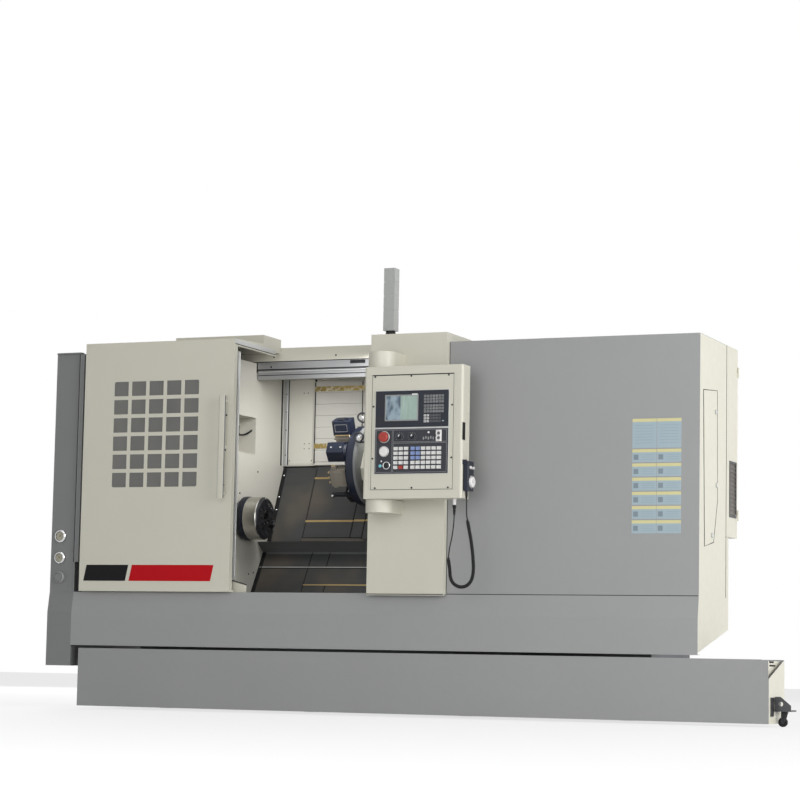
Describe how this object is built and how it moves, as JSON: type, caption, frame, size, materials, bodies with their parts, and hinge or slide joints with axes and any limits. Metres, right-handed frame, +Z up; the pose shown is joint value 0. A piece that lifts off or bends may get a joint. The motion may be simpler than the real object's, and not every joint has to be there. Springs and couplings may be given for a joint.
{
  "type": "cnc turning lathe",
  "caption": "Slant-bed turning lathe with a sliding windowed guard door, tool turret, tailstock, swinging control panel and coolant tank.",
  "frame": {"origin": "middle of the machine's overall box, on the floor", "axes": "+X along the spindle from the headstock to the tailstock, +Y from the operator to the rear, +Z up"},
  "size_m": [4.47, 1.88, 2.545],
  "materials": {
    "grey_paint": "satin",
    "cream_paint": "satin",
    "dark_slope": "satin",
    "interior_paint": "satin",
    "machine_iron": "matte",
    "ground_steel": "satin",
    "polished_steel": "polished",
    "black_oxide": "satin",
    "navy_paint": "satin",
    "brass_fit": "satin",
    "window_glass": "clear",
    "lamp_plastic": "gloss",
    "panel_black": "matte",
    "key_grey": "matte",
    "red_plastic": "gloss",
    "white_plastic": "gloss",
    "black_rubber": "matte",
    "cord_rubber": "satin",
    "tank_paint": "satin",
    "aluminium_trim": "satin"
  },
  "bodies": {
    "machine": {"bed": "machine_iron", "levelling_feet": "machine_iron", "headstock": "machine_iron", "spindle_bearings": "ground_steel", "spindle_motor": "black_oxide", "drive_belt": "black_rubber", "slant_cover": "dark_slope", "work_lining": "interior_paint", "lower_guard": "grey_paint", "left_end_cover": "grey_paint", "gauges": "panel_black", "headstock_guard": "grey_paint", "rear_cover": "cream_paint", "top_rails": "aluminium_trim", "pillar": "cream_paint", "right_cover": "grey_paint", "right_side": "cream_paint", "electrical_cabinet": "cream_paint", "signal_lamp": "lamp_plastic", "panel_brackets": "cream_paint", "coolant_tank": "tank_paint"},
    "spindle_unit": {"spindle": "ground_steel", "spindle_pulley": "machine_iron", "chuck_backplate": "navy_paint", "chuck_body": "polished_steel"},
    "jaw_one": {"chuck_jaw_1": "black_oxide"},
    "jaw_two": {"chuck_jaw_2": "black_oxide"},
    "jaw_three": {"chuck_jaw_3": "black_oxide"},
    "motor_shaft": {"motor_pulley": "machine_iron"},
    "carriage": {"saddle": "machine_iron", "way_shield": "dark_slope", "back_shield": "ground_steel"},
    "z_drive": {"z_screw": "ground_steel"},
    "cross_unit": {"cross_slide": "machine_iron", "turret_housing": "cream_paint"},
    "turret": {"turret_disc": "navy_paint", "tool_holders": "ground_steel"},
    "tailstock_unit": {"tailstock": "cream_paint"},
    "quill": {"tailstock_quill": "ground_steel"},
    "door_unit": {"door": "cream_paint", "door_glass": "window_glass", "door_handle": "aluminium_trim"},
    "panel_unit": {"panel_box": "cream_paint", "cnc_unit": "panel_black", "control_board": "key_grey", "pendant": "panel_black", "cord_connector": "black_rubber", "cord_leads": "cord_rubber", "cord_curl": "cord_rubber"},
    "estop": {"estop_button": "red_plastic"},
    "start": {"start_button": "white_plastic"},
    "key": {"key_switch": "ground_steel"},
    "knob_one": {"override_knob_1": "panel_black"},
    "knob_two": {"override_knob_2": "panel_black"},
    "pulse_wheel": {"handwheel": "panel_black"},
    "pendant_dial_1": {"pendant_knob_1": "panel_black"},
    "pendant_dial_2": {"pendant_knob_2": "panel_black"},
    "cabinet_leaf": {"cabinet_door": "cream_paint"},
    "castor": {"castor_fork": "ground_steel"},
    "wheel": {"castor_wheel": "black_rubber"}
  },
  "joints": [
    {"name": "spindle_spin", "type": "hinge", "parent": "machine", "child": "spindle_unit", "pos_m": [-1.165, -0.21, 1.14], "axis": [1, 0, 0], "continuous": true},
    {"name": "jaw_slide_1", "type": "slide", "parent": "spindle_unit", "child": "jaw_one", "axis": [0, 0, 1], "range_m": [0, 0.0044]},
    {"name": "jaw_slide_2", "type": "slide", "parent": "spindle_unit", "child": "jaw_two", "axis": [0, -0.866, -0.5], "range_m": [0, 0.0044]},
    {"name": "jaw_slide_3", "type": "slide", "parent": "spindle_unit", "child": "jaw_three", "axis": [0, 0.866, -0.5], "range_m": [0, 0.0044]},
    {"name": "motor_spin", "type": "hinge", "parent": "machine", "child": "motor_shaft", "pos_m": [-2, -0.27, 0.64], "axis": [1, 0, 0], "continuous": true},
    {"name": "carriage_slide", "type": "slide", "parent": "machine", "child": "carriage", "axis": [1, 0, 0], "range_m": [-0.2, 0.45]},
    {"name": "z_screw_spin", "type": "hinge", "parent": "machine", "child": "z_drive", "pos_m": [0, 0.31248, 1.26861], "axis": [1, 0, 0], "range_deg": [-7201, 16201]},
    {"name": "cross_slide_move", "type": "slide", "parent": "carriage", "child": "cross_unit", "axis": [0, 0.4067, 0.9135], "range_m": [-0.2, 0.05]},
    {"name": "turret_index", "type": "hinge", "parent": "cross_unit", "child": "turret", "pos_m": [-0.448, -0.06927, 1.45609], "axis": [1, 0, 0], "continuous": true},
    {"name": "tailstock_slide", "type": "slide", "parent": "machine", "child": "tailstock_unit", "axis": [1, 0, 0], "range_m": [-0.13, 0.08]},
    {"name": "quill_slide", "type": "slide", "parent": "tailstock_unit", "child": "quill", "axis": [1, 0, 0], "range_m": [-0.12, 0]},
    {"name": "door_slide", "type": "slide", "parent": "machine", "child": "door_unit", "axis": [1, 0, 0], "range_m": [0, 0.86]},
    {"name": "panel_swing", "type": "hinge", "parent": "machine", "child": "panel_unit", "pos_m": [-0.03, -0.81, 1.567], "axis": [0, 0, 1], "range_deg": [-90, 0]},
    {"name": "estop_press", "type": "slide", "parent": "panel_unit", "child": "estop", "axis": [0, 1, 0], "range_m": [0, 0.004], "stiffness_N_per_m": 1500},
    {"name": "start_press", "type": "slide", "parent": "panel_unit", "child": "start", "axis": [0, 1, 0], "range_m": [0, 0.003], "stiffness_N_per_m": 800},
    {"name": "key_turn", "type": "hinge", "parent": "panel_unit", "child": "key", "pos_m": [0.05, -0.912, 1.382], "axis": [0, -1, 0], "range_deg": [0, 90]},
    {"name": "knob_turn_1", "type": "hinge", "parent": "panel_unit", "child": "knob_one", "pos_m": [0.124, -0.912, 1.541], "axis": [0, -1, 0], "range_deg": [-150, 150]},
    {"name": "knob_turn_2", "type": "hinge", "parent": "panel_unit", "child": "knob_two", "pos_m": [0.2, -0.912, 1.541], "axis": [0, -1, 0], "range_deg": [-150, 150]},
    {"name": "pulse_wheel_spin", "type": "hinge", "parent": "panel_unit", "child": "pulse_wheel", "pos_m": [0.52, -0.855, 1.29], "axis": [1, 0, 0], "continuous": true},
    {"name": "pendant_turn_1", "type": "hinge", "parent": "panel_unit", "child": "pendant_dial_1", "pos_m": [0.525, -0.875, 1.368], "axis": [1, 0, 0], "range_deg": [-60, 60]},
    {"name": "pendant_turn_2", "type": "hinge", "parent": "panel_unit", "child": "pendant_dial_2", "pos_m": [0.525, -0.835, 1.368], "axis": [1, 0, 0], "range_deg": [-60, 60]},
    {"name": "cabinet_swing", "type": "hinge", "parent": "machine", "child": "cabinet_leaf", "pos_m": [1.762, 0.128, 1.565], "axis": [0, 0, 1], "range_deg": [-110, 0]},
    {"name": "castor_swivel", "type": "hinge", "parent": "machine", "child": "castor", "pos_m": [2.19, -0.49, 0.081], "axis": [0, 0, 1], "continuous": true},
    {"name": "castor_roll", "type": "hinge", "parent": "castor", "child": "wheel", "pos_m": [2.178, -0.49, 0.025], "axis": [0, 1, 0], "continuous": true}
  ],
  "couplings": [
    {"joint": "jaw_slide_2", "follows": "jaw_slide_1", "ratio": 1},
    {"joint": "jaw_slide_3", "follows": "jaw_slide_1", "ratio": 1},
    {"joint": "motor_spin", "follows": "spindle_spin", "ratio": 1.5238},
    {"joint": "z_screw_spin", "follows": "carriage_slide", "rad_per_m": 628.32}
  ]
}
